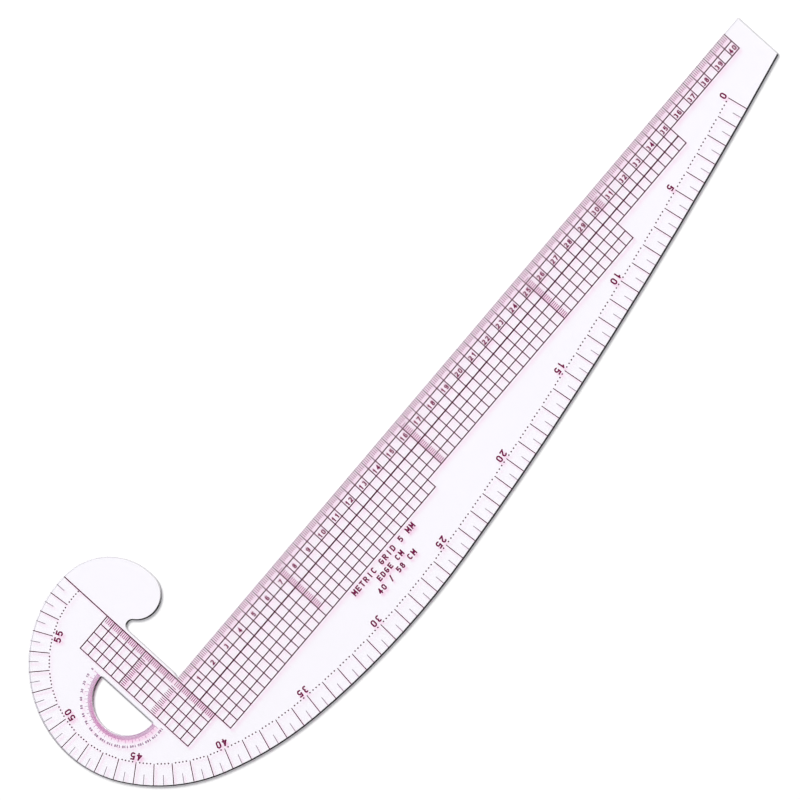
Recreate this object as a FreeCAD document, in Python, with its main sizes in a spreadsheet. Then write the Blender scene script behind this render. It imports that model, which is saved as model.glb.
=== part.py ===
import FreeCAD, Part
import math
import os
import Sketcher
from FreeCAD import Placement, Rotation, Vector

# A french curve for pattern drafting: one clear plastic sheet with printed scales.
#
# Frame, in millimetres: the origin is the zero of the straight scale, at the inner
# corner, on the face that rests on the table. +X runs along the straight edge to the
# tip, +Y runs up the short arm to the hooked head, and +Z points up through the sheet.
# The printed ink lies on the top face and every printed group is a sub-part.

SIZES = [
    # the clear sheet
    ("sheet_thickness", 2.0, "thickness of the clear sheet"),
    ("edge_break", 0.5, "chamfer along the cut edges"),
    ("tip_end", 410.3, "inner corner to the end of the tip"),
    ("tip_width", 26.5, "width of the end of the tip"),
    ("tip_corner_radius", 1.0, "rounding of the two tip corners"),
    ("straight_margin", 0.5, "straight scale to the straight cut edge"),
    ("arm_margin", 1.6, "zero line to the short arm's cut edge"),
    ("relief_height", 2.1, "height of the relief in the inner corner"),
    ("relief_depth", 0.8, "depth of the relief in the inner corner"),
    # the curved edge, walked from the tip to the hook: radius, then degrees turned
    ("tip_slope", 11.8, "slope of the curved edge at the tip"),
    ("tip_radius", 2600, "curved edge at the tip"),
    ("tip_turn", 4.1, "its turn"),
    ("blade_radius", 1700, "curved edge in the middle of the blade"),
    ("blade_turn", 3.1, "its turn"),
    ("belly_radius", 420, "curved edge at the widest place"),
    ("belly_turn", 14.3, "its turn"),
    ("shoulder_radius", 175, "curved edge before the elbow"),
    ("shoulder_turn", 16.7, "its turn"),
    ("elbow_radius", 86, "elbow of the curve"),
    ("elbow_turn", 35.4, "its turn"),
    ("head_radius", 57.5, "round side of the head"),
    ("head_turn", 122.6, "its turn"),
    ("crown_radius", 31, "crown of the hook"),
    ("crown_turn", 91.8, "its turn"),
    ("lobe_radius", 12, "lobe at the end of the hook"),
    ("notch_radius", 2.8, "notch between the lobe and the short arm"),
    # the D-shaped protractor window
    ("window_x", -23.4, "straight side of the window"),
    ("window_y", 12.0, "middle of the window"),
    ("window_radius", 16.4, "radius of the window"),
    ("window_corner_radius", 0.5, "rounding of the window's two corners"),
    # the ink
    ("ink_thickness", 0.04, "thickness of the printed ink"),
    ("line_width", 0.48, "grid lines across the blade"),
    ("level_line_width", 0.55, "grid lines along the blade"),
    ("bold_line_width", 0.72, "the bolder third line of the long grid"),
    ("zero_line_width", 0.54, "the line through the zero of the scale"),
    ("fine_width", 0.34, "millimetre marks"),
    ("edge_gap", 0.5, "curved edge to the start of a mark"),
    # straight scale and grids
    ("millimetre", 1.0, "pitch of the millimetre marks"),
    ("grid_pitch", 5.0, "pitch of the grids"),
    ("mark_length", 3.0, "length of the millimetre marks"),
    ("scale_length", 400, "length of the straight scale"),
    ("wide_grid_end", 150, "end of the deepest step of the long grid"),
    ("middle_grid_end", 300, "end of its second step"),
    ("narrow_grid_end", 350, "end of its third step"),
    ("wide_grid_depth", 35, "depth of the deepest step"),
    ("middle_grid_depth", 30, "depth of the second step"),
    ("narrow_grid_depth", 20, "depth of the third step"),
    ("scale_depth", 10, "depth of the last step, which holds the numbers"),
    ("first_band", 70, "first band of cross marks"),
    ("second_band", 160, "second band"),
    ("third_band", 250, "third band"),
    ("last_band", 300, "last band"),
    ("arm_grid_width", 20, "width of the short arm's grid"),
    ("arm_grid_top", 45, "top of the short arm's grid"),
    ("arm_grid_bottom", 25, "its depth below the inner corner"),
    ("arm_band", 20, "height of the band across the short arm"),
    ("zero_line_top", 73.2, "top of the zero line"),
    # curved scale
    ("curve_length", 580, "length of the curved scale"),
    ("curve_mark_length", 10.6, "curved edge to the dotted line"),
    ("curve_mark_width", 0.42, "width of the centimetre marks"),
    ("half_mark_end", 5.3, "curved edge to the end of a half mark"),
    ("half_mark_width", 0.38, "width of the half-centimetre marks"),
    ("dot_pitch", 2.0, "pitch of the dots, measured on the curved edge"),
    ("dot_size", 0.75, "diameter of a dot"),
    ("curve_number_inset", 13.3, "curved edge to the middle of a number"),
    ("curve_number_shift", 0.4, "number's step past its mark"),
    ("curve_number_height", 3.6, "height of the numbers on the curved scale"),
    ("curve_number_stroke", 0.75, "stroke of those numbers"),
    # straight scale numbers
    ("number_height", 2.6, "height of the numbers on the straight scale"),
    ("number_stroke", 0.62, "stroke of those numbers"),
    ("number_back", 2.6, "number's middle before its centimetre line"),
    ("number_depth", 8.0, "straight edge to the number's middle"),
    # protractor
    ("degree_start", 16.95, "inner end of the degree marks"),
    ("degree_end", 18.9, "outer end of the one-degree marks"),
    ("five_degree_end", 19.6, "outer end of the five-degree marks"),
    ("ten_degree_end", 20.5, "outer end of the ten-degree marks"),
    ("degree_width", 0.15, "width of the degree marks"),
    ("degree_number_radius", 22.1, "radius of the degree numbers"),
    ("degree_number_height", 1.2, "height of the degree numbers"),
    ("degree_number_stroke", 0.3, "stroke of the degree numbers"),
    # caption
    ("caption_x", 108, "middle of the caption"),
    ("caption_stroke", 0.68, "stroke of the caption"),
]

# Strokes of the lettering in a cell one unit high. A line is its two ends; an arc is
# its centre, radius, and first and last angle in degrees.
ROUND_TOP = ("arc", 0.28, 0.72, 0.28, 0, 180)
ROUND_FOOT = ("arc", 0.28, 0.28, 0.28, 180, 360)
LEFT_SIDE = ("line", 0.0, 0.28, 0.0, 0.72)
RIGHT_SIDE = ("line", 0.56, 0.28, 0.56, 0.72)
LEFT_POST = ("line", 0.0, 0.0, 0.0, 1.0)
TOP_BAR = ("line", 0.0, 1.0, 0.56, 1.0)
FOOT_BAR = ("line", 0.0, 0.0, 0.56, 0.0)
OPEN_TOP = ("arc", 0.28, 0.72, 0.28, 25, 180)
OPEN_FOOT = ("arc", 0.28, 0.28, 0.28, 180, 335)
GLYPHS = {
    "0": [ROUND_TOP, LEFT_SIDE, ROUND_FOOT, RIGHT_SIDE],
    "1": [("line", 0.34, 0.0, 0.34, 1.0), ("line", 0.12, 0.8, 0.34, 1.0)],
    "2": [("arc", 0.28, 0.72, 0.28, -35, 165), ("line", 0.51, 0.56, 0.0, 0.0), FOOT_BAR],
    "3": [("arc", 0.27, 0.77, 0.23, -90, 150), ("arc", 0.27, 0.27, 0.27, -150, 90)],
    "4": [("line", 0.42, 0.0, 0.42, 1.0), ("line", 0.42, 1.0, 0.0, 0.3), ("line", 0.0, 0.3, 0.6, 0.3)],
    "5": [
        ("line", 0.08, 1.0, 0.52, 1.0),
        ("line", 0.08, 1.0, 0.03, 0.53),
        ("arc", 0.25, 0.31, 0.31, -150, 135),
    ],
    "6": [OPEN_TOP, LEFT_SIDE, ("ring", 0.28, 0.28, 0.28)],
    "7": [TOP_BAR, ("line", 0.56, 1.0, 0.18, 0.0)],
    "8": [("ring", 0.28, 0.765, 0.235), ("ring", 0.28, 0.265, 0.265)],
    "9": [("ring", 0.28, 0.72, 0.28), RIGHT_SIDE, ("arc", 0.28, 0.28, 0.28, 205, 360)],
    "C": [OPEN_TOP, LEFT_SIDE, OPEN_FOOT],
    "D": [
        LEFT_POST,
        ("line", 0.0, 1.0, 0.26, 1.0),
        ("arc", 0.26, 0.7, 0.3, 0, 90),
        ("line", 0.56, 0.3, 0.56, 0.7),
        ("arc", 0.26, 0.3, 0.3, -90, 0),
        ("line", 0.0, 0.0, 0.26, 0.0),
    ],
    "E": [LEFT_POST, TOP_BAR, FOOT_BAR, ("line", 0.0, 0.52, 0.46, 0.52)],
    "G": [
        OPEN_TOP,
        LEFT_SIDE,
        ROUND_FOOT,
        ("line", 0.56, 0.28, 0.56, 0.45),
        ("line", 0.32, 0.45, 0.56, 0.45),
    ],
    "I": [("line", 0.28, 0.0, 0.28, 1.0)],
    "M": [
        ("line", 0.0, 0.0, 0.0, 1.0),
        ("line", 0.0, 1.0, 0.32, 0.35),
        ("line", 0.64, 1.0, 0.32, 0.35),
        ("line", 0.64, 0.0, 0.64, 1.0),
    ],
    "R": [
        LEFT_POST,
        ("line", 0.0, 1.0, 0.3, 1.0),
        ("arc", 0.3, 0.75, 0.25, -90, 90),
        ("line", 0.0, 0.5, 0.3, 0.5),
        ("line", 0.26, 0.5, 0.56, 0.0),
    ],
    "T": [TOP_BAR, ("line", 0.28, 0.0, 0.28, 1.0)],
    "/": [("line", 0.08, -0.05, 0.48, 1.05)],
}
GLYPH_WIDTH = 0.56
LETTER_PITCH = 0.9

# Lines of the caption: words, distance from the straight edge, and height.
CAPTION = [("METRIC GRID 5 MM", 38.4, 3.1), ("EDGE CM", 43.0, 2.9), ("40 / 58 CM", 47.3, 3.0)]

MARKS_PER_CELL = (1, 2, 3, 4)    # millimetres from a grid line to each mark of its cell
BOLD_LINE = 3                    # place of the bolder line, counted from the straight edge
CURVE_ARCS = ["tip", "blade", "belly", "shoulder", "elbow", "head", "crown"]

doc = FreeCAD.newDocument("french_curve")
sheet = doc.addObject("Spreadsheet::Sheet", "Sizes")
for row, (alias, size, meaning) in enumerate(SIZES, 1):
    sheet.set(f"A{row}", meaning)
    sheet.set(f"B{row}", str(size))
    sheet.setAlias(f"B{row}", alias)
doc.recompute()


def size(alias):
    return float(sheet.get(alias))


def worked_out(expression):
    return float(sheet.evalExpression(expression.replace("Sizes.", "")))


# ---------------------------------------------------------------- curved edge


def heading_vector(degrees):
    return Vector(math.cos(math.radians(degrees)), math.sin(math.radians(degrees)), 0)


def right_of(heading):
    return heading_vector(heading - 90)


def curved_edge():
    """Arcs of the curved edge, each turning right: centre, radius, first heading, turn."""
    place = Vector(size("tip_end"), size("straight_margin") - size("tip_width"), 0)
    heading = 180 + size("tip_slope")
    arcs = []
    for name in CURVE_ARCS:
        radius = size(name + "_radius")
        turn = size(name + "_turn")
        centre = place + right_of(heading) * radius
        arcs.append((centre, radius, heading, turn))
        heading -= turn
        place = centre - right_of(heading) * radius
    return arcs, place, heading


def lobe_and_notch(place, heading):
    """The lobe runs on from the crown until the notch, which ends on the short arm."""
    lobe = place + right_of(heading) * size("lobe_radius")
    notch_x = size("arm_margin") + size("notch_radius")
    reach = size("lobe_radius") + size("notch_radius")
    notch_y = lobe.y - math.sqrt(reach ** 2 - (lobe.x - notch_x) ** 2)
    notch = Vector(notch_x, notch_y, 0)
    join_angle = math.degrees(math.atan2(notch.y - lobe.y, notch.x - lobe.x))
    return lobe, notch, join_angle


def edge_at(distance, inset):
    """Point inside the curved edge and the outward heading, at a distance from the tip."""
    left = distance
    for centre, radius, heading, turn in curved_edge()[0]:
        length = radius * math.radians(turn)
        if left <= length:
            break
        left -= length
    heading -= math.degrees(left / radius)
    outward = right_of(heading) * -1
    return centre + outward * (radius - inset), heading + 90


def zero_of_curve():
    """The curved scale ends where the zero line meets the crown of the hook."""
    distance = 0
    for centre, radius, heading, turn in curved_edge()[0]:
        # Heading at the place above the arc's centre where the arc crosses x = 0.
        crossing = math.degrees(math.acos(max(-1, min(1, -centre.x / radius)))) - 90
        if 0 <= heading - crossing <= turn:
            return distance + radius * math.radians(heading - crossing) - size("curve_length")
        distance += radius * math.radians(turn)
    raise RuntimeError("the zero line misses the crown")


# ---------------------------------------------------------------- sketch helpers


def new_body(name, label, lift):
    body = doc.addObject("PartDesign::Body", name)
    body.Label = label
    body.AllowCompound = True
    if lift:
        body.setExpression("Placement.Base.z", "Sizes.sheet_thickness")
    return body


def new_sketch(body, name):
    sketch = body.newObject("Sketcher::SketchObject", name)
    plane = [item for item in body.Origin.OriginFeatures if item.Role == "XY_Plane"][0]
    sketch.AttachmentSupport = [(plane, "")]
    sketch.MapMode = "FlatFace"
    return sketch


def bind(sketch, name, constraint, expression):
    index = sketch.addConstraint(constraint)
    sketch.renameConstraint(index, name)
    sketch.setExpression("Constraints." + name, expression)


def add_rectangle(sketch, name, left, low, width, height):
    """A rectangle whose place and size are expressions."""
    x0, y0 = worked_out(left), worked_out(low)
    x1, y1 = x0 + worked_out(width), y0 + worked_out(height)
    corners = [Vector(x0, y0, 0), Vector(x1, y0, 0), Vector(x1, y1, 0), Vector(x0, y1, 0)]
    sides = [Part.LineSegment(corners[i], corners[(i + 1) % 4]) for i in range(4)]
    first = sketch.addGeometry(sides, False)[0]
    for i in range(4):
        sketch.addConstraint(Sketcher.Constraint("Coincident", first + i, 2, first + (i + 1) % 4, 1))
    for side in (0, 2):
        sketch.addConstraint(Sketcher.Constraint("Horizontal", first + side))
    for side in (1, 3):
        sketch.addConstraint(Sketcher.Constraint("Vertical", first + side))
    bind(sketch, name + "_left", Sketcher.Constraint("DistanceX", -1, 1, first, 1, x0), left)
    bind(sketch, name + "_low", Sketcher.Constraint("DistanceY", -1, 1, first, 1, y0), low)
    bind(sketch, name + "_width", Sketcher.Constraint("DistanceX", first, 1, first, 2, x1 - x0), width)
    rise = Sketcher.Constraint("DistanceY", first + 1, 1, first + 1, 2, y1 - y0)
    bind(sketch, name + "_height", rise, height)


def pad(body, sketch, name, thickness):
    feature = body.newObject("PartDesign::Pad", name)
    feature.Profile = sketch
    feature.setExpression("Length", thickness)
    feature.Refine = False
    body.Tip = feature
    return feature


def ink_row(body, name, marks, axis, count):
    """Ink marks drawn once, then repeated at the grid's pitch along +X, +Y, -X or -Y."""
    sketch = new_sketch(body, name + "Sketch")
    for number, mark in enumerate(marks, 1):
        add_rectangle(sketch, f"mark{number}", *mark)
    feature = pad(body, sketch, name + "Pad", "Sizes.ink_thickness")
    if count == 1:
        return
    pattern = body.newObject("PartDesign::LinearPattern", name + "Row")
    pattern.Originals = [feature]
    pattern.Direction = (sketch, ["H_Axis" if axis[1] == "X" else "V_Axis"])
    pattern.Reversed = axis[0] == "-"
    pattern.Mode = "Spacing"
    pattern.setExpression("Offset", "Sizes.grid_pitch")
    pattern.Occurrences = count
    pattern.Refine = False
    body.Tip = pattern


def cells(start, end):
    """How many grid cells lie between two places."""
    return round((worked_out(end) - worked_out(start)) / size("grid_pitch"))


# ---------------------------------------------------------------- the clear sheet


def add_arc(sketch, centre, radius, first, last):
    circle = Part.Circle(centre, Vector(0, 0, 1), radius)
    return sketch.addGeometry(Part.ArcOfCircle(circle, math.radians(first), math.radians(last)), False)


def blade_outline(body):
    """The outline: curved edge, lobe, notch, short arm, relief, straight edge and tip."""
    sketch = new_sketch(body, "Outline")
    arcs, place, heading = curved_edge()
    lobe, notch, join_angle = lobe_and_notch(place, heading)
    ids = []
    for name, (centre, radius, first, turn) in zip(CURVE_ARCS, arcs):
        ids.append(add_arc(sketch, centre, radius, first + 90 - turn, first + 90))
    lobe_arc = add_arc(sketch, lobe, size("lobe_radius"), join_angle, heading + 90)
    notch_arc = add_arc(sketch, notch, size("notch_radius"), join_angle + 180, 180)
    arm_x, edge_y, tip_x = size("arm_margin"), size("straight_margin"), size("tip_end")
    relief_x, relief_y = arm_x - size("relief_depth"), edge_y + size("relief_height")
    corners = [
        Vector(arm_x, notch.y, 0),
        Vector(arm_x, relief_y, 0),
        Vector(relief_x, edge_y, 0),
        Vector(tip_x, edge_y, 0),
        Vector(tip_x, edge_y - size("tip_width"), 0),
    ]
    lines = [Part.LineSegment(a, b) for a, b in zip(corners, corners[1:])]
    arm, relief, straight, tip = sketch.addGeometry(lines, False)

    # Arcs run anticlockwise from point 1 to point 2, and the walk is clockwise.
    chain = ids + [lobe_arc]
    for before, after in zip(chain, chain[1:]):
        sketch.addConstraint(Sketcher.Constraint("Tangent", before, 1, after, 2))
    sketch.addConstraint(Sketcher.Constraint("Tangent", lobe_arc, 1, notch_arc, 1))
    sketch.addConstraint(Sketcher.Constraint("Tangent", notch_arc, 2, arm, 1))
    sketch.addConstraint(Sketcher.Constraint("Coincident", arm, 2, relief, 1))
    sketch.addConstraint(Sketcher.Constraint("Coincident", relief, 2, straight, 1))
    sketch.addConstraint(Sketcher.Constraint("Coincident", straight, 2, tip, 1))
    sketch.addConstraint(Sketcher.Constraint("Coincident", tip, 2, ids[0], 2))
    sketch.addConstraint(Sketcher.Constraint("Vertical", arm))
    sketch.addConstraint(Sketcher.Constraint("Horizontal", straight))
    sketch.addConstraint(Sketcher.Constraint("Vertical", tip))
    for name, arc in zip(CURVE_ARCS, ids):
        radius, turn = size(name + "_radius"), math.radians(size(name + "_turn"))
        bind(sketch, name + "_radius", Sketcher.Constraint("Radius", arc, radius), f"Sizes.{name}_radius")
        bind(sketch, name + "_turn", Sketcher.Constraint("Angle", arc, turn), f"Sizes.{name}_turn * 1 deg")
    for name, arc in (("lobe", lobe_arc), ("notch", notch_arc)):
        radius = Sketcher.Constraint("Radius", arc, size(name + "_radius"))
        bind(sketch, name + "_radius", radius, f"Sizes.{name}_radius")
    # The first arc's centre sets the slope of the curved edge at the tip.
    first_centre = arcs[0][0]
    rise = Sketcher.Constraint("DistanceX", ids[0], 3, ids[0], 2, tip_x - first_centre.x)
    bind(sketch, "tip_slope", rise, "Sizes.tip_radius * sin(Sizes.tip_slope * 1 deg)")
    bind(sketch, "tip_end", Sketcher.Constraint("DistanceX", -1, 1, tip, 1, tip_x), "Sizes.tip_end")
    margin = Sketcher.Constraint("DistanceY", -1, 1, tip, 1, edge_y)
    bind(sketch, "straight_margin", margin, "Sizes.straight_margin")
    width = Sketcher.Constraint("DistanceY", tip, 2, tip, 1, size("tip_width"))
    bind(sketch, "tip_width", width, "Sizes.tip_width")
    bind(sketch, "arm_margin", Sketcher.Constraint("DistanceX", -1, 1, arm, 2, arm_x), "Sizes.arm_margin")
    depth = Sketcher.Constraint("DistanceX", relief, 2, relief, 1, size("relief_depth"))
    bind(sketch, "relief_depth", depth, "Sizes.relief_depth")
    height = Sketcher.Constraint("DistanceY", relief, 2, relief, 1, size("relief_height"))
    bind(sketch, "relief_height", height, "Sizes.relief_height")
    return sketch


def window_outline(body):
    """The D-shaped window: a half circle closed by a straight side."""
    sketch = new_sketch(body, "Window")
    centre = Vector(size("window_x"), size("window_y"), 0)
    radius = size("window_radius")
    arc = add_arc(sketch, centre, radius, 90, 270)
    rise = Vector(0, radius, 0)
    side = sketch.addGeometry(Part.LineSegment(centre - rise, centre + rise), False)
    sketch.addConstraint(Sketcher.Constraint("Coincident", arc, 2, side, 1))
    sketch.addConstraint(Sketcher.Constraint("Coincident", side, 2, arc, 1))
    sketch.addConstraint(Sketcher.Constraint("PointOnObject", arc, 3, side))
    sketch.addConstraint(Sketcher.Constraint("Vertical", side))
    bind(sketch, "radius", Sketcher.Constraint("Radius", arc, radius), "Sizes.window_radius")
    bind(sketch, "side", Sketcher.Constraint("DistanceX", -1, 1, arc, 3, centre.x), "Sizes.window_x")
    bind(sketch, "middle", Sketcher.Constraint("DistanceY", -1, 1, arc, 3, centre.y), "Sizes.window_y")
    return sketch


def upright_edges(shape, places):
    """Names of the edges that stand up through the sheet at the given places."""
    names = []
    for number, edge in enumerate(shape.Edges, 1):
        ends = [vertex.Point for vertex in edge.Vertexes]
        if len(ends) != 2 or abs(ends[0].z - ends[1].z) < size("sheet_thickness") / 2:
            continue
        foot = Vector(ends[0].x, ends[0].y, 0)
        if any(foot.distanceToPoint(place) < size("edge_break") for place in places):
            names.append(f"Edge{number}")
    return names


def round_corners(body, name, base, places, radius):
    doc.recompute()
    fillet = body.newObject("PartDesign::Fillet", name)
    fillet.Base = (base, upright_edges(base.Shape, places))
    fillet.setExpression("Radius", radius)
    body.Tip = fillet
    return fillet


def flat_face_names(shape):
    """The top and bottom faces, whose rims are the cut edges."""
    faces = enumerate(shape.Faces, 1)
    return [f"Face{number}" for number, face in faces if abs(face.normalAt(0, 0).z) > 0.99]


def make_blade():
    body = new_body("Blade", "blade", False)
    slab = pad(body, blade_outline(body), "Slab", "Sizes.sheet_thickness")
    tip_top = Vector(size("tip_end"), size("straight_margin"), 0)
    tip_low = tip_top - Vector(0, size("tip_width"), 0)
    tip_round = round_corners(body, "TipCorners", slab, [tip_top, tip_low], "Sizes.tip_corner_radius")
    doc.recompute()

    window = body.newObject("PartDesign::Pocket", "WindowCut")
    window.Profile = window_outline(body)
    window.Type = "ThroughAll"
    window.Reversed = True
    body.Tip = window
    doc.recompute()
    if window.Shape.Volume >= tip_round.Shape.Volume:
        raise RuntimeError("the window cuts nothing")

    centre = Vector(size("window_x"), size("window_y"), 0)
    rise = Vector(0, size("window_radius"), 0)
    corners = [centre - rise, centre + rise]
    window_round = round_corners(body, "WindowCorners", window, corners, "Sizes.window_corner_radius")
    doc.recompute()

    chamfer = body.newObject("PartDesign::Chamfer", "EdgeBreak")
    chamfer.Base = (window_round, flat_face_names(window_round.Shape))
    chamfer.setExpression("Size", "Sizes.edge_break")
    body.Tip = chamfer
    return body


# ---------------------------------------------------------------- ink drawn as grids


def upright_marks(x, low, height):
    """Four millimetre marks that run along Y, in the grid cell that starts at x."""
    left = "{} + {} * Sizes.millimetre - Sizes.fine_width / 2"
    return [(left.format(x, step), low, "Sizes.fine_width", height) for step in MARKS_PER_CELL]


def level_marks(left, y, width):
    """Four millimetre marks that run along X, in the grid cell that starts at y."""
    low = "{} + {} * Sizes.millimetre - Sizes.fine_width / 2"
    return [(left, low.format(y, step), width, "Sizes.fine_width") for step in MARKS_PER_CELL]


def make_zero_line():
    body = new_body("ZeroLine", "zero_line", True)
    low = "-Sizes.wide_grid_depth - Sizes.level_line_width / 2"
    height = "Sizes.zero_line_top + Sizes.wide_grid_depth + Sizes.level_line_width / 2"
    left = "-Sizes.zero_line_width / 2"
    ink_row(body, "Line", [(left, low, "Sizes.zero_line_width", height)], "+X", 1)
    return body


def make_straight_scale_marks():
    body = new_body("StraightScaleMarks", "straight_scale_marks", True)
    low = "-Sizes.mark_length"
    count = cells("0", "Sizes.scale_length")
    ink_row(body, "Scale", upright_marks("0", low, "Sizes.mark_length"), "+X", count)
    marks = upright_marks("-Sizes.arm_grid_width", low, "Sizes.mark_length")
    ink_row(body, "Arm", marks, "+X", cells("-Sizes.arm_grid_width", "-Sizes.grid_pitch"))
    ink_row(body, "Corner", upright_marks("-Sizes.grid_pitch", low, "Sizes.mark_length")[:1], "+X", 1)
    return body


def make_short_arm_marks():
    body = new_body("ShortArmMarks", "short_arm_marks", True)
    width = "Sizes.mark_length - Sizes.zero_line_width / 2"
    marks = level_marks("-Sizes.mark_length", "-Sizes.arm_grid_bottom", width)
    ink_row(body, "Arm", marks, "+Y", cells("-Sizes.arm_grid_bottom", "Sizes.arm_grid_top"))
    return body


def make_cross_band_marks():
    body = new_body("CrossBandMarks", "cross_band_marks", True)
    width = "Sizes.mark_length - Sizes.line_width / 2"
    bands = {
        "first": "middle_grid_depth",
        "second": "middle_grid_depth",
        "third": "middle_grid_depth",
        "last": "scale_depth",
    }
    for band, depth in bands.items():
        left = f"Sizes.{band}_band + Sizes.line_width / 2"
        top_cell = level_marks(left, "-Sizes.grid_pitch", width)[:1]
        ink_row(body, band.title() + "Top", top_cell, "-Y", 1)
        marks = level_marks(left, "-2 * Sizes.grid_pitch", width)
        ink_row(body, band.title(), marks, "-Y", cells("Sizes.grid_pitch", f"Sizes.{depth}"))
    low = "Sizes.arm_band - Sizes.mark_length"
    marks = upright_marks("-Sizes.arm_grid_width", low, width)
    ink_row(body, "Arm", marks, "+X", cells("-Sizes.arm_grid_width", "-Sizes.grid_pitch"))
    ink_row(body, "ArmCorner", upright_marks("-Sizes.grid_pitch", low, width)[:1], "+X", 1)
    return body


def make_long_grid_lines():
    """A stepped grid: the cross lines of each step, then the lines along the blade."""
    body = new_body("LongGridLines", "long_grid_lines", True)
    half = "Sizes.line_width / 2"
    steps = [
        ("Wide", "0", "wide_grid_end", "wide_grid_depth"),
        ("Middle", "Sizes.wide_grid_end", "middle_grid_end", "middle_grid_depth"),
        ("Narrow", "Sizes.middle_grid_end", "narrow_grid_end", "narrow_grid_depth"),
        ("Scale", "Sizes.narrow_grid_end", "scale_length", "scale_depth"),
    ]
    for name, start, end, depth in steps:
        left = f"{start} + Sizes.grid_pitch - {half}"
        line = (left, f"-Sizes.{depth}", "Sizes.line_width", f"Sizes.{depth}")
        ink_row(body, name + "CrossLines", [line], "+X", cells(start, f"Sizes.{end}"))
    lines = []
    for number in range(1, cells("0", "Sizes.wide_grid_depth") + 1):
        depth = number * size("grid_pitch")
        end = [end for _, _, end, step_depth in steps if depth <= size(step_depth)][-1]
        width = "Sizes.bold_line_width" if number == BOLD_LINE else "Sizes.level_line_width"
        low = f"-{number} * Sizes.grid_pitch - {width} / 2"
        lines.append(("Sizes.zero_line_width / 2", low, f"Sizes.{end}", width))
    ink_row(body, "Lines", lines, "+X", 1)
    return body


def make_short_grid_lines():
    body = new_body("ShortGridLines", "short_grid_lines", True)
    half, level_half = "Sizes.line_width / 2", "Sizes.level_line_width / 2"
    left = f"-Sizes.arm_grid_width - {half}"
    width = f"Sizes.arm_grid_width + {half} - Sizes.zero_line_width / 2"
    above = (left, f"Sizes.grid_pitch - {level_half}", width, "Sizes.level_line_width")
    ink_row(body, "Above", [above], "+Y", cells("0", "Sizes.arm_grid_top"))
    below = (left, f"-Sizes.grid_pitch - {level_half}", width, "Sizes.level_line_width")
    ink_row(body, "Below", [below], "-Y", cells("0", "Sizes.arm_grid_bottom"))
    low = f"-Sizes.arm_grid_bottom - {level_half}"
    height = "Sizes.arm_grid_top + Sizes.arm_grid_bottom + Sizes.level_line_width"
    uprights = []
    for number in range(1, cells("0", "Sizes.arm_grid_width") + 1):
        uprights.append((f"-{number} * Sizes.grid_pitch - {half}", low, "Sizes.line_width", height))
    ink_row(body, "Uprights", uprights, "+X", 1)
    return body


# ---------------------------------------------------------------- ink drawn along curves


def ink_part(name, label, shapes):
    part = doc.addObject("Part::Feature", name)
    part.Label = label
    part.Shape = Part.makeCompound(shapes)
    part.Placement = Placement(Vector(0, 0, size("sheet_thickness")), Rotation())
    return part


def stroke(start, heading, length, width):
    """A straight ink stroke that starts at a point and runs along a heading."""
    box = Part.makeBox(length, width, size("ink_thickness"), Vector(0, -width / 2, 0))
    box.Placement = Placement(start, Rotation(Vector(0, 0, 1), heading))
    return box


def curve_mark(distance, length, width):
    """A stroke square to the curved edge, from just inside it."""
    start, outward = edge_at(distance, size("edge_gap"))
    return stroke(start, outward + 180, length - size("edge_gap"), width)


def make_curve_scale_marks():
    zero, pitch = zero_of_curve(), 2 * size("grid_pitch")
    count = round(size("curve_length") / pitch)
    places = [zero + pitch * step for step in range(count)]
    length, width = size("curve_mark_length"), size("curve_mark_width")
    marks = [curve_mark(place, length, width) for place in places]
    return ink_part("CurveScaleMarks", "curve_scale_marks", marks)


def make_curve_half_marks():
    zero, pitch = zero_of_curve(), 2 * size("grid_pitch")
    count = round(size("curve_length") / pitch)
    places = [zero + pitch * (step + 0.5) for step in range(count)]
    length, width = size("half_mark_end"), size("half_mark_width")
    marks = [curve_mark(place, length, width) for place in places]
    return ink_part("CurveHalfMarks", "curve_half_marks", marks)


def make_curve_dotted_line():
    zero, pitch = zero_of_curve(), size("dot_pitch")
    dots_per_mark = round(2 * size("grid_pitch") / pitch)
    last = round(size("curve_length") / pitch)
    dots = []
    for step in range(last + 1):
        if step % dots_per_mark == 0 and step < last:
            continue
        place = edge_at(zero + pitch * step, size("curve_mark_length"))[0]
        dots.append(Part.makeCylinder(size("dot_size") / 2, size("ink_thickness"), place))
    return ink_part("CurveDottedLine", "curve_dotted_line", dots)


# ---------------------------------------------------------------- lettering


def ring_sector(centre, radius, width, first, last):
    """Part of a flat ring between two angles."""
    outer, inner = radius + width / 2, radius - width / 2
    thickness = size("ink_thickness")
    up = Vector(0, 0, 1)
    solid = Part.makeCylinder(outer, thickness, Vector(0, 0, 0), up, last - first)
    solid = solid.cut(Part.makeCylinder(inner, thickness, Vector(0, 0, 0), up, 360))
    solid.Placement = Placement(centre, Rotation(up, first))
    return solid


def line_stroke(start, end, width):
    """A straight stroke with ends that run half its width past its two points."""
    along = end - start
    heading = math.degrees(math.atan2(along.y, along.x))
    back = heading_vector(heading) * (width / 2)
    return stroke(start - back, heading, along.Length + width, width)


def make_glyph(letter, height, width):
    """One letter: its strokes fused into a solid, with its centre at the origin."""
    scale = height - width
    middle = Vector(GLYPH_WIDTH / 2, 0.5, 0)
    strokes = []
    for kind, *values in GLYPHS[letter]:
        if kind == "line":
            start = (Vector(values[0], values[1], 0) - middle) * scale
            end = (Vector(values[2], values[3], 0) - middle) * scale
            strokes.append(line_stroke(start, end, width))
            continue
        centre = (Vector(values[0], values[1], 0) - middle) * scale
        first, last = values[3:] if kind == "arc" else (0, 360)
        strokes.append(ring_sector(centre, values[2] * scale, width, first, last))
    if len(strokes) == 1:
        return strokes[0]
    return strokes[0].multiFuse(strokes[1:]).removeSplitter()


def letter_set(height, width):
    """Letters of one size, each made once and then copied."""
    made = {}

    def letter(name):
        if name not in made:
            made[name] = make_glyph(name, height, width)
        return made[name].copy()

    return letter


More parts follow.
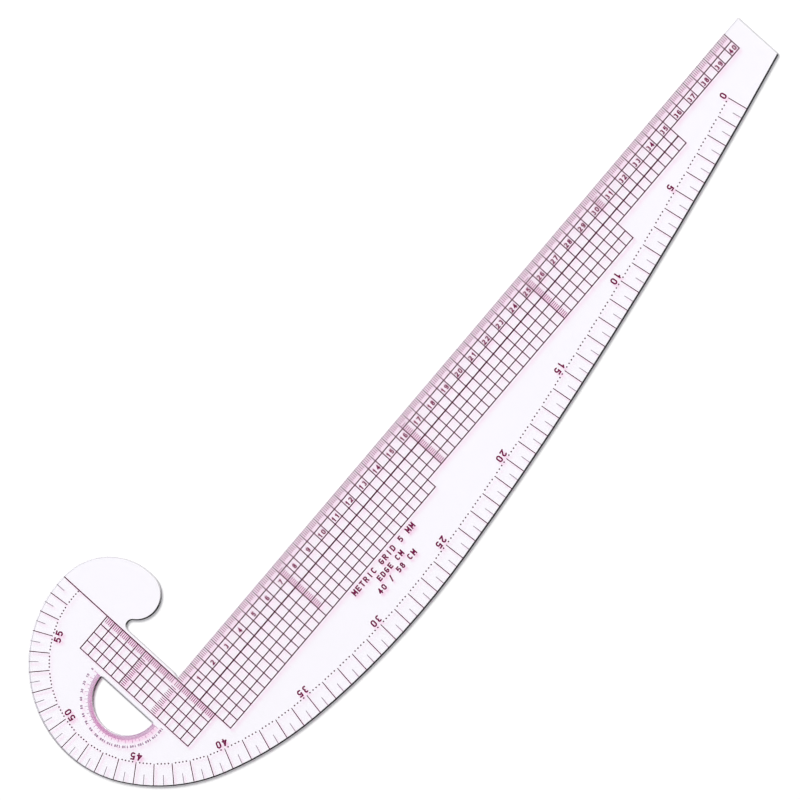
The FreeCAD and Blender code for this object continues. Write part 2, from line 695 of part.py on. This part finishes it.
def lettering(words, centre, heading, letter, height):
    """Words set in a straight line around a centre point."""
    pitch = LETTER_PITCH * height
    along = heading_vector(heading)
    shapes = []
    for index, name in enumerate(words):
        if name == " ":
            continue
        place = centre + along * (pitch * (index - (len(words) - 1) / 2))
        shape = letter(name)
        turned = Placement(place, Rotation(Vector(0, 0, 1), heading))
        shape.Placement = turned.multiply(shape.Placement)
        shapes.append(shape)
    return shapes


def make_straight_scale_numbers():
    height = size("number_height")
    letter = letter_set(height, size("number_stroke"))
    centimetre = 2 * size("grid_pitch")
    shapes = []
    for number in range(1, round(size("scale_length") / centimetre) + 1):
        centre = Vector(centimetre * number - size("number_back"), -size("number_depth"), 0)
        shapes += lettering(str(number), centre, 0, letter, height)
    return ink_part("StraightScaleNumbers", "straight_scale_numbers", shapes)


def make_curve_scale_numbers():
    """Every fifth mark is numbered, with the number's top towards the curved edge."""
    height = size("curve_number_height")
    letter = letter_set(height, size("curve_number_stroke"))
    zero, centimetre = zero_of_curve(), 2 * size("grid_pitch")
    shapes = []
    for number in range(0, round(size("curve_length") / centimetre), 5):
        place, outward = edge_at(zero + centimetre * number, size("curve_number_inset"))
        reading = outward - 90
        centre = place + heading_vector(reading) * size("curve_number_shift")
        shapes += lettering(str(number), centre, reading, letter, height)
    return ink_part("CurveScaleNumbers", "curve_scale_numbers", shapes)


def window_place(degrees, radius):
    """A place around the window: 0 degrees is at the head end, 180 at the blade end."""
    centre = Vector(size("window_x"), size("window_y"), 0)
    return centre + heading_vector(90 + degrees) * radius


def make_protractor_marks():
    marks = []
    start = size("degree_start")
    for degrees in range(0, 181):
        end = size("degree_end")
        if degrees % 5 == 0:
            end = size("five_degree_end")
        if degrees % 10 == 0:
            end = size("ten_degree_end")
        place = window_place(degrees, start)
        marks.append(stroke(place, 90 + degrees, end - start, size("degree_width")))
    return ink_part("ProtractorMarks", "protractor_marks", marks)


def make_protractor_numbers():
    height = size("degree_number_height")
    letter = letter_set(height, size("degree_number_stroke"))
    shapes = []
    for degrees in range(0, 181, 10):
        centre = window_place(degrees, size("degree_number_radius"))
        shapes += lettering(str(degrees), centre, degrees, letter, height)
    return ink_part("ProtractorNumbers", "protractor_numbers", shapes)


def make_caption_lettering():
    shapes = []
    for words, depth, height in CAPTION:
        letter = letter_set(height, size("caption_stroke"))
        centre = Vector(size("caption_x"), -depth, 0)
        shapes += lettering(words, centre, 0, letter, height)
    return ink_part("CaptionLettering", "caption_lettering", shapes)


# ---------------------------------------------------------------- build, check, write

parts = [
    make_blade(),
    make_zero_line(),
    make_straight_scale_marks(),
    make_straight_scale_numbers(),
    make_long_grid_lines(),
    make_cross_band_marks(),
    make_short_arm_marks(),
    make_short_grid_lines(),
    make_curve_scale_marks(),
    make_curve_half_marks(),
    make_curve_dotted_line(),
    make_curve_scale_numbers(),
    make_protractor_marks(),
    make_protractor_numbers(),
    make_caption_lettering(),
]
doc.recompute()

for item in doc.Objects:
    if "Invalid" in item.State or "Error" in item.State:
        raise RuntimeError(f"{item.Name} failed: {item.State}")
for part in parts:
    if part.Shape.isNull() or not part.Shape.isValid() or not part.Shape.Solids:
        raise RuntimeError(f"{part.Label} has no sound shape")

os.makedirs("parts", exist_ok=True)
for part in parts:
    part.Shape.exportStep(os.path.join("parts", part.Label + ".step"))
    print(part.Label, len(part.Shape.Solids), "solids,", round(part.Shape.Volume, 2), "mm3")
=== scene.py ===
"""A clear plastic french curve with printed scales, lying on a pale table."""

import math

import bpy
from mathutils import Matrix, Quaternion, Vector


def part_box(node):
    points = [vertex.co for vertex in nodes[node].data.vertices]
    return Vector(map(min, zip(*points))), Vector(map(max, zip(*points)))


MM = 0.001

# ---- the printed inks ------------------------------------------------------------------------

DARK_SHADOW = (0.98, 0.77, 0.88)         # light that has come through a dark printed line
PINK_SHADOW = (0.98, 0.56, 0.80)         # light that has come through a magenta one

# Each ink's name, colour, the light that it lets through, and the nodes printed in it.
INKS = [
    ("grid_ink", (0.042, 0.001, 0.015), DARK_SHADOW,
     ["zero_line", "long_grid_lines", "short_grid_lines", "curve_scale_marks",
      "curve_dotted_line"]),
    ("mark_ink", (0.13, 0.001, 0.06), PINK_SHADOW,
     ["straight_scale_marks", "cross_band_marks", "short_arm_marks"]),
    ("degree_ink", (0.20, 0.004, 0.15), PINK_SHADOW, ["protractor_marks"]),
    ("degree_number_ink", (0.13, 0.035, 0.11), DARK_SHADOW, ["protractor_numbers"]),
    ("number_ink", (0.10, 0.001, 0.035), DARK_SHADOW,
     ["straight_scale_numbers", "curve_scale_numbers", "caption_lettering"]),
    ("pale_ink", (0.20, 0.17, 0.20), DARK_SHADOW, ["curve_half_marks"]),
]

INK_UNEVEN = 1.5                         # how much lighter the ink is where its film is thin
INK_THIN_TONE = 0.004                    # and the trace of grey that is added there
INK_FILM = 4 * MM                        # size of the film's clouds
INK_GRAIN = 0.4 * MM
INK_RELIEF = 0.01 * MM

# ---- the clear sheet -------------------------------------------------------------------------

FACE_TONES = (0.20, 0.13, 0.32, 1), (0.24, 0.17, 0.36, 1)
PAINTED_LIT_EDGE = (0.55, 0.53, 0.56, 1)         # painted light: the pale colour given to edges that face the main light
PAINTED_SHADE_EDGE = (0.03, 0.028, 0.03, 1)       # painted shade: the near-black colour given to edges that face away from it
EDGE_SHADOW = (0.38, 0.38, 0.40, 1)      # light that has come through an edge
FACE_COVER = 0.15                        # share of the view through a face that its tone hides
# How much of the view an edge hides: more where its shade is painted dark, less where it is painted
# light.
PAINTED_LIT_EDGE_COVER = 0.45
PAINTED_SHADE_EDGE_COVER = 0.97
EDGE_SHINE = 0.15                        # sawn edges mirror less than the polished faces
EDGE_FROM = 0.98                         # upright part of the normal where an edge begins
EDGE_FULL = 0.75                         # and where it is fully an edge
PAINTED_SHADE_FROM = -0.25                        # painted shade on an edge starts at this cosine to the side away from the main light
PAINTED_SHADE_FULL = 0.8                          # and the painted shade is full at this one
ACRYLIC_INDEX = 1.49
SHEET_CLOUD = 120 * MM
SHEET_WAVE = 20 * MM                     # the faces' faint waviness: its width and its height
SHEET_WAVE_HEIGHT = 0.04 * MM
SCRATCH_WIDTH = 0.8 * MM
SCRATCH_STRETCH = (0.06, 1, 1)           # the scratches run along the blade

# ---- camera and light ------------------------------------------------------------------------

LENS = 1400 * MM
SENSOR = 36 * MM
FIELD = 374.6 * MM                       # width of the table that fills the picture
PICTURE_MIDDLE = Vector((169.20, 4.88, 2)) * MM   # place on the sheet that fills the middle
PICTURE_TURN = -48.77                    # degrees from +X to the picture's right-hand direction
LEAN_TOWARDS = -56.4                     # compass direction, on the table, that the camera leans to
LEAN = 15.2                              # degrees between the camera's axis and straight down

KEY_TOWARDS = 68.0                       # compass direction of the main light
KEY_HEIGHT = 58.0                        # degrees above the table
KEY_DISTANCE = 10.0
KEY_SIZE = 5.8
KEY_POWER = 1420.0
WORLD_LIGHT = 0.15
BACKDROP_LIGHT = 1.0
PIXEL_FILTER = 1.4                       # width, in pixels, over which a sample is spread

FLOOR_SIZE = 12.0
FLOOR_GAP = 0.15 * MM                    # the table lies this far below the sheet
FLOOR_CLOUD = 300 * MM
WHITE = (1, 1, 1, 1)


# ---- small helpers ---------------------------------------------------------------------------

def direction(compass, height):
    """A unit vector: compass in degrees from +X towards +Y, height above the table."""
    flat = math.cos(math.radians(height))
    turn = math.radians(compass)
    return Vector((flat * math.cos(turn), flat * math.sin(turn), math.sin(math.radians(height))))


# The side away from the main light, towards which the sheet's edges get painted shade; it is fixed
# here and does not follow the lamp.
PAINTED_SHADE_SIDE = direction(KEY_TOWARDS + 180, 0)


class Tree:
    """A material's node tree, with short calls for the nodes that the materials share."""

    def __init__(self, name):
        self.material = bpy.data.materials.new(name)
        self.material.use_nodes = True
        self.nodes = self.material.node_tree.nodes
        self.nodes.clear()
        self.output = self.add("ShaderNodeOutputMaterial")

    def add(self, kind, **settings):
        node = self.nodes.new(kind)
        for key, value in settings.items():
            setattr(node, key, value)
        return node

    def link(self, source, target):
        self.material.node_tree.links.new(source, target)

    def plug(self, value, socket):
        """Links value to socket when it is a socket, or else sets the socket to it."""
        if isinstance(value, bpy.types.NodeSocket):
            self.link(value, socket)
        else:
            socket.default_value = value

    def maths(self, operation, first, second=0.0):
        node = self.add("ShaderNodeMath", operation=operation)
        self.plug(first, node.inputs[0])
        self.plug(second, node.inputs[1])
        return node.outputs[0]

    def spread(self, value, from_low, from_high, to_low, to_high):
        """Value's range from_low to from_high, spread over to_low to to_high and held there."""
        node = self.add("ShaderNodeMapRange")
        self.plug(value, node.inputs["Value"])
        for name, number in zip(("From Min", "From Max", "To Min", "To Max"),
                                (from_low, from_high, to_low, to_high)):
            self.plug(number, node.inputs[name])
        return node.outputs["Result"]

    def blend(self, share, first, second):
        """A colour: first where share is 0 and second where it is 1."""
        node = self.add("ShaderNodeMixRGB")
        for socket, value in zip(node.inputs, (share, first, second)):
            self.plug(value, socket)
        return node.outputs[0]

    def mix_shaders(self, share, first, second):
        node = self.add("ShaderNodeMixShader")
        self.plug(share, node.inputs[0])
        self.link(first, node.inputs[1])
        self.link(second, node.inputs[2])
        return node.outputs[0]

    def place(self, stretch=(1, 1, 1)):
        """The point's place in the frame, in metres, stretched for a directional pattern."""
        coordinates = self.add("ShaderNodeTexCoord")
        mapping = self.add("ShaderNodeMapping")
        mapping.inputs["Scale"].default_value = stretch
        self.link(coordinates.outputs["Object"], mapping.inputs["Vector"])
        return mapping.outputs["Vector"]

    def noise(self, size, detail=3.0, stretch=(1, 1, 1)):
        """Cloudy noise from 0 to 1 whose blobs are about size metres across."""
        node = self.add("ShaderNodeTexNoise")
        node.inputs["Scale"].default_value = 1 / size
        node.inputs["Detail"].default_value = detail
        self.link(self.place(stretch), node.inputs["Vector"])
        return node.outputs["Fac"]

    def dot(self, towards):
        """How far the face looks along a direction: 1 is straight along it, -1 the other way."""
        geometry = self.add("ShaderNodeNewGeometry")
        node = self.add("ShaderNodeVectorMath", operation="DOT_PRODUCT")
        self.link(geometry.outputs["True Normal"], node.inputs[0])
        node.inputs[1].default_value = towards
        return node.outputs["Value"]

    def bump(self, height, depth, strength=1.0):
        """Fine relief on the face's true normal, so that thin strokes aren't shaded as round."""
        geometry = self.add("ShaderNodeNewGeometry")
        node = self.add("ShaderNodeBump")
        self.link(geometry.outputs["True Normal"], node.inputs["Normal"])
        node.inputs["Distance"].default_value = depth
        node.inputs["Strength"].default_value = strength
        self.link(height, node.inputs["Height"])
        return node.outputs["Normal"]

    def transparent(self, colour=WHITE):
        node = self.add("ShaderNodeBsdfTransparent")
        self.plug(colour, node.inputs["Color"])
        return node.outputs[0]

    def principled(self, colour, roughness, normal=None, specular=0.5):
        node = self.add("ShaderNodeBsdfPrincipled")
        self.plug(colour, node.inputs["Base Color"])
        self.plug(roughness, node.inputs["Roughness"])
        self.plug(specular, node.inputs["Specular IOR Level"])
        if normal is not None:
            self.link(normal, node.inputs["Normal"])
        return node.outputs[0]

    def glossy(self, roughness, normal):
        node = self.add("ShaderNodeBsdfAnisotropic")
        self.plug(roughness, node.inputs["Roughness"])
        self.link(normal, node.inputs["Normal"])
        return node.outputs[0]

    def fresnel(self, normal):
        node = self.add("ShaderNodeFresnel")
        self.plug(ACRYLIC_INDEX, node.inputs["IOR"])
        self.link(normal, node.inputs["Normal"])
        return node.outputs[0]

    def show(self, surface):
        self.link(surface, self.output.inputs["Surface"])
        return self.material


# ---- materials -------------------------------------------------------------------------------

def clear_sheet():
    """Clear acrylic, a trace lavender: glossy faces, and edges with painted shade on the side away
    from the main light.
    """
    tree = Tree("clear_sheet")
    geometry = tree.add("ShaderNodeNewGeometry")
    parts = tree.add("ShaderNodeSeparateXYZ")
    tree.link(geometry.outputs["True Normal"], parts.inputs[0])
    upright = tree.maths("ABSOLUTE", parts.outputs["Z"])
    edge = tree.spread(upright, EDGE_FULL, EDGE_FROM, 1.0, 0.0)

    # How far an edge faces from the light, whatever its slope; a hair over 1 keeps level above 0.
    level_squared = tree.maths("SUBTRACT", 1.0001, tree.maths("POWER", upright, 2.0))
    level = tree.maths("SQRT", level_squared)
    facing_away = tree.maths("DIVIDE", tree.dot(PAINTED_SHADE_SIDE), level)
    # Painted light and shade: edges that face away from the main light get a near-black colour and
    # those that face it a pale one, set in the material and not by the lamp.
    painted_shade = tree.spread(facing_away, PAINTED_SHADE_FROM, PAINTED_SHADE_FULL, 0.0, 1.0)

    face_colour = tree.blend(tree.noise(SHEET_CLOUD), *FACE_TONES)
    painted_edge_shade = tree.blend(painted_shade, PAINTED_LIT_EDGE, PAINTED_SHADE_EDGE)
    colour = tree.blend(edge, face_colour, painted_edge_shade)
    scratches = tree.noise(SCRATCH_WIDTH, 2.0, SCRATCH_STRETCH)
    roughness = tree.spread(scratches, 0.3, 0.8, 0.06, 0.16)
    normal = tree.bump(tree.noise(SHEET_WAVE), SHEET_WAVE_HEIGHT)
    body = tree.principled(colour, 0.6, normal, specular=0.0)
    # Edges with painted shade also hide more of the view behind them.
    edge_cover = tree.spread(painted_shade, 0.0, 1.0, PAINTED_LIT_EDGE_COVER, PAINTED_SHADE_EDGE_COVER)
    cover = tree.spread(edge, 0.0, 1.0, FACE_COVER, edge_cover)
    sheet = tree.mix_shaders(cover, tree.transparent(), body)
    mirror = tree.spread(edge, 0.0, 1.0, 1.0, EDGE_SHINE)
    shine = tree.maths("MULTIPLY", tree.fresnel(normal), mirror)
    sheet = tree.mix_shaders(shine, sheet, tree.glossy(roughness, normal))

    # Rays leave the sheet freely, and light passes it with only its edges' shadow.
    inside = geometry.outputs["Backfacing"]
    seen = tree.mix_shaders(inside, sheet, tree.transparent())
    blocked = tree.maths("MULTIPLY", edge, tree.maths("SUBTRACT", 1.0, inside))
    shade = tree.blend(blocked, WHITE, EDGE_SHADOW)
    path = tree.add("ShaderNodeLightPath")
    return tree.show(tree.mix_shaders(path.outputs["Is Shadow Ray"], seen, tree.transparent(shade)))


def printed_ink(name, colour, shadow):
    """Screen-printed ink: matt, with a slightly uneven film."""
    tree = Tree(name)
    thin = [min(1.0, part * INK_UNEVEN + INK_THIN_TONE) for part in colour]
    shown = tree.blend(tree.noise(INK_FILM), (*colour, 1), (*thin, 1))
    grain = tree.noise(INK_GRAIN)
    roughness = tree.spread(grain, 0.3, 0.7, 0.42, 0.62)
    ink = tree.principled(shown, roughness, tree.bump(grain, INK_RELIEF), specular=0.1)
    path = tree.add("ShaderNodeLightPath")
    through = tree.transparent((*shadow, 1))
    return tree.show(tree.mix_shaders(path.outputs["Is Shadow Ray"], ink, through))


def table_top():
    """A pale matt table."""
    tree = Tree("table_top")
    tone = tree.blend(tree.noise(FLOOR_CLOUD), (0.80, 0.797, 0.80, 1), (0.82, 0.817, 0.82, 1))
    return tree.show(tree.principled(tone, 0.8))


def paint(node, material):
    """Puts material on every slot of a CAD node, on the object and not its mesh."""
    for slot in node.material_slots:
        slot.link = "OBJECT"
        slot.material = material


# ---- the stage -------------------------------------------------------------------------------

def make_floor(middle):
    half = FLOOR_SIZE / 2
    mesh = bpy.data.meshes.new("floor")
    corners = [(x, y, 0) for x, y in ((-half, -half), (half, -half), (half, half), (-half, half))]
    mesh.from_pydata(corners, [], [(0, 1, 2, 3)])
    mesh.materials.append(table_top())
    floor = bpy.data.objects.new("floor", mesh)
    floor.location = (middle.x, middle.y, -FLOOR_GAP)
    bpy.context.scene.collection.objects.link(floor)


def make_key_light(middle):
    lamp = bpy.data.lights.new("key", "AREA")
    lamp.shape = "DISK"
    lamp.size = KEY_SIZE
    lamp.energy = KEY_POWER
    key = bpy.data.objects.new("key", lamp)
    away = direction(KEY_TOWARDS, KEY_HEIGHT)
    key.location = middle + away * KEY_DISTANCE
    key.rotation_mode = "QUATERNION"
    key.rotation_quaternion = away.to_track_quat("Z", "Y")
    bpy.context.scene.collection.objects.link(key)


def make_world():
    """Dim light from all round, with a bright backdrop where it's seen or mirrored."""
    world = bpy.data.worlds.new("studio")
    world.use_nodes = True
    tree = world.node_tree
    path = tree.nodes.new("ShaderNodeLightPath")
    seen = tree.nodes.new("ShaderNodeMath")
    seen.operation = "MAXIMUM"
    tree.links.new(path.outputs["Is Camera Ray"], seen.inputs[0])
    tree.links.new(path.outputs["Is Glossy Ray"], seen.inputs[1])
    strength = tree.nodes.new("ShaderNodeMapRange")
    strength.inputs["To Min"].default_value = WORLD_LIGHT
    strength.inputs["To Max"].default_value = BACKDROP_LIGHT
    tree.links.new(seen.outputs[0], strength.inputs["Value"])
    background = tree.nodes["Background"]
    background.inputs["Color"].default_value = WHITE
    tree.links.new(strength.outputs["Result"], background.inputs["Strength"])
    bpy.context.scene.world = world


def make_camera():
    """A long lens high above the table, leaning a little, with the picture turned."""
    lens = bpy.data.cameras.new("camera")
    lens.lens = LENS / MM
    lens.sensor_width = SENSOR / MM
    lens.clip_end = 100
    camera = bpy.data.objects.new("camera", lens)
    to_camera = direction(LEAN_TOWARDS, 90 - LEAN)
    turn = Quaternion((0, 0, 1), math.radians(PICTURE_TURN))
    camera.rotation_mode = "QUATERNION"
    camera.rotation_quaternion = Vector((0, 0, 1)).rotation_difference(to_camera) @ turn
    camera.location = PICTURE_MIDDLE + to_camera * (FIELD * LENS / SENSOR)
    bpy.context.scene.collection.objects.link(camera)
    bpy.context.scene.camera = camera


# ---- the scene -------------------------------------------------------------------------------

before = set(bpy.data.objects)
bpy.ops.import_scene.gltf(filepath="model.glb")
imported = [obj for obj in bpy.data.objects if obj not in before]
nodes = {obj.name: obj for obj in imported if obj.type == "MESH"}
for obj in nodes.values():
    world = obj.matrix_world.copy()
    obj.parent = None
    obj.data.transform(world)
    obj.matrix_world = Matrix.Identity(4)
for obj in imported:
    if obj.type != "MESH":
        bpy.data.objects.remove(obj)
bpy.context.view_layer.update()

paint(nodes["blade"], clear_sheet())
for ink_name, ink_colour, shadow_colour, members in INKS:
    ink_material = printed_ink(ink_name, ink_colour, shadow_colour)
    for member in members:
        paint(nodes[member], ink_material)

low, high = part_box("blade")
sheet_middle = Vector(((low.x + high.x) / 2, (low.y + high.y) / 2, high.z))
make_floor(sheet_middle)
make_key_light(sheet_middle)
make_world()
make_camera()
bpy.context.scene.view_settings.view_transform = "Standard"
bpy.context.scene.cycles.filter_width = PIXEL_FILTER
